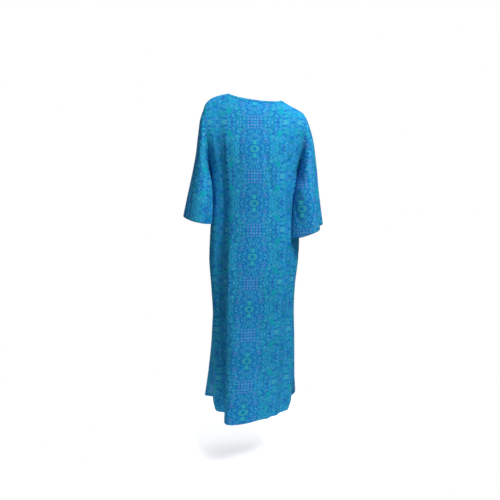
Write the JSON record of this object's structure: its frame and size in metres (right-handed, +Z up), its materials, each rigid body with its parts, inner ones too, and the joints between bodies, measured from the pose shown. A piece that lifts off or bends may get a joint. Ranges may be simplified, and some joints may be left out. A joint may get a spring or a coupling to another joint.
{
  "type": "kaftan dress",
  "caption": "Long straight kaftan dress with wide three-quarter bell sleeves, a scooped bound neck and side slits with rounded hem corners, filled out as worn.",
  "frame": {"origin": "between the two shoulders at the base of the neck, where the wearer holds the dress up", "axes": "+Z up, +Y the way the wearer faces, +X to the wearer's right"},
  "size_m": [0.5783, 0.3231, 1.3469],
  "materials": {
    "printed_cotton": "matte printed lightweight cotton"
  },
  "bodies": {
    "root": {"back_panel": "printed_cotton", "front_panel": "printed_cotton", "left_sleeve": "printed_cotton", "right_sleeve": "printed_cotton", "neck_binding": "printed_cotton"}
  },
  "joints": []
}
